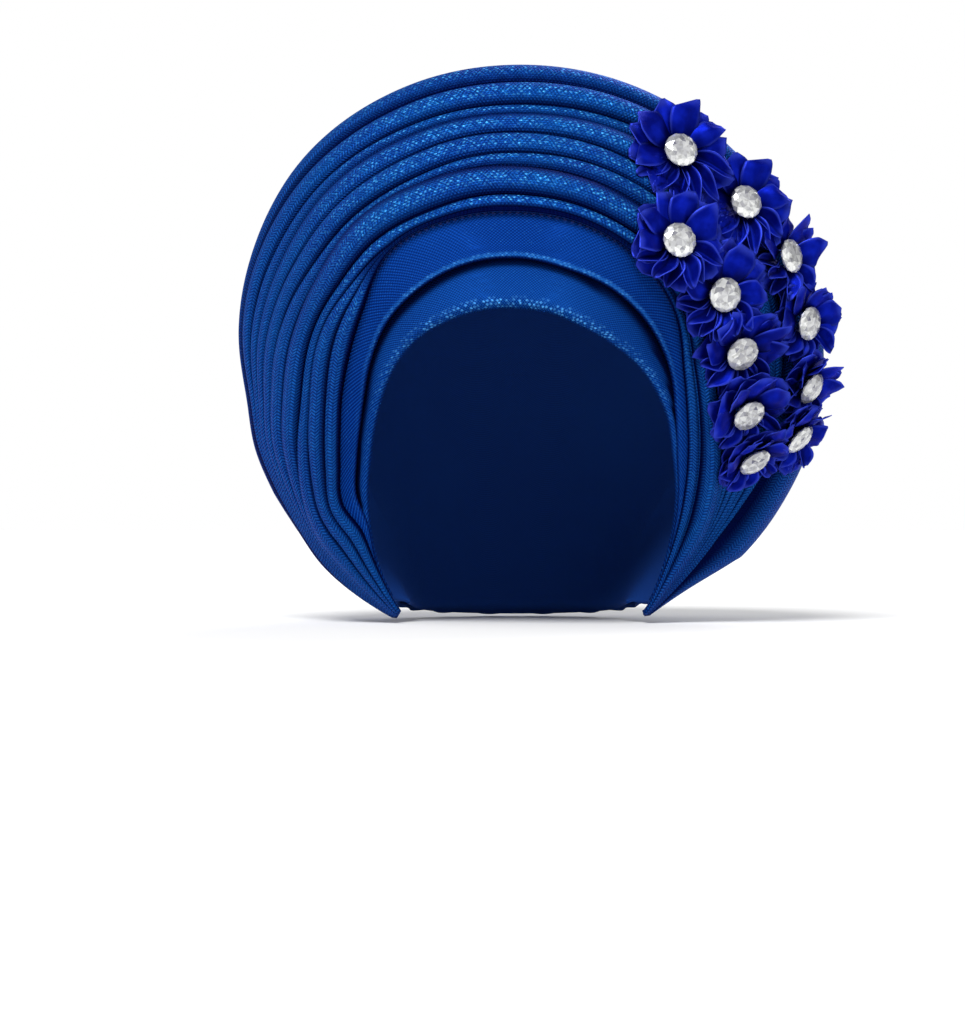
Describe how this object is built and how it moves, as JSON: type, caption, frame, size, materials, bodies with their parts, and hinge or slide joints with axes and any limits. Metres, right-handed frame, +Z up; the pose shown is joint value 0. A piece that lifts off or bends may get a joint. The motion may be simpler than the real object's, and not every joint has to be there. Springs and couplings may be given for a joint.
{
  "type": "pleated gele head tie with ribbon flowers",
  "caption": "Ready-tied pleated head wrap in blue cloth: open cap, smooth brow bands, rolled pleats fanned over the crown, plain back, and jewelled satin flowers on one side.",
  "frame": {"origin": "top of the hollow inside the cap, where the wrap sits on the top of a head", "axes": "+Z up, +X to the right as seen from the front, +Y to the back; the opening faces -Y"},
  "size_m": [0.2684, 0.209, 0.2424],
  "materials": {
    "blue_cloth": "ribbed metallic weave",
    "band_cloth": "fine metallic weave",
    "blue_satin": "glossy satin ribbon",
    "clear_stone": "polished and silver backed"
  },
  "bodies": {
    "root": {"head_cap": "band_cloth", "front_band": "band_cloth", "pleated_fan": "blue_cloth", "back_wrap": "blue_cloth", "flower_01": "blue_satin", "flower_02": "blue_satin", "flower_03": "blue_satin", "flower_04": "blue_satin", "flower_05": "blue_satin", "flower_06": "blue_satin", "flower_07": "blue_satin", "flower_08": "blue_satin", "flower_09": "blue_satin", "flower_10": "blue_satin", "flower_11": "blue_satin", "stone_01": "clear_stone", "stone_02": "clear_stone", "stone_03": "clear_stone", "stone_04": "clear_stone", "stone_05": "clear_stone", "stone_06": "clear_stone", "stone_07": "clear_stone", "stone_08": "clear_stone", "stone_09": "clear_stone", "stone_10": "clear_stone", "stone_11": "clear_stone"}
  },
  "joints": []
}
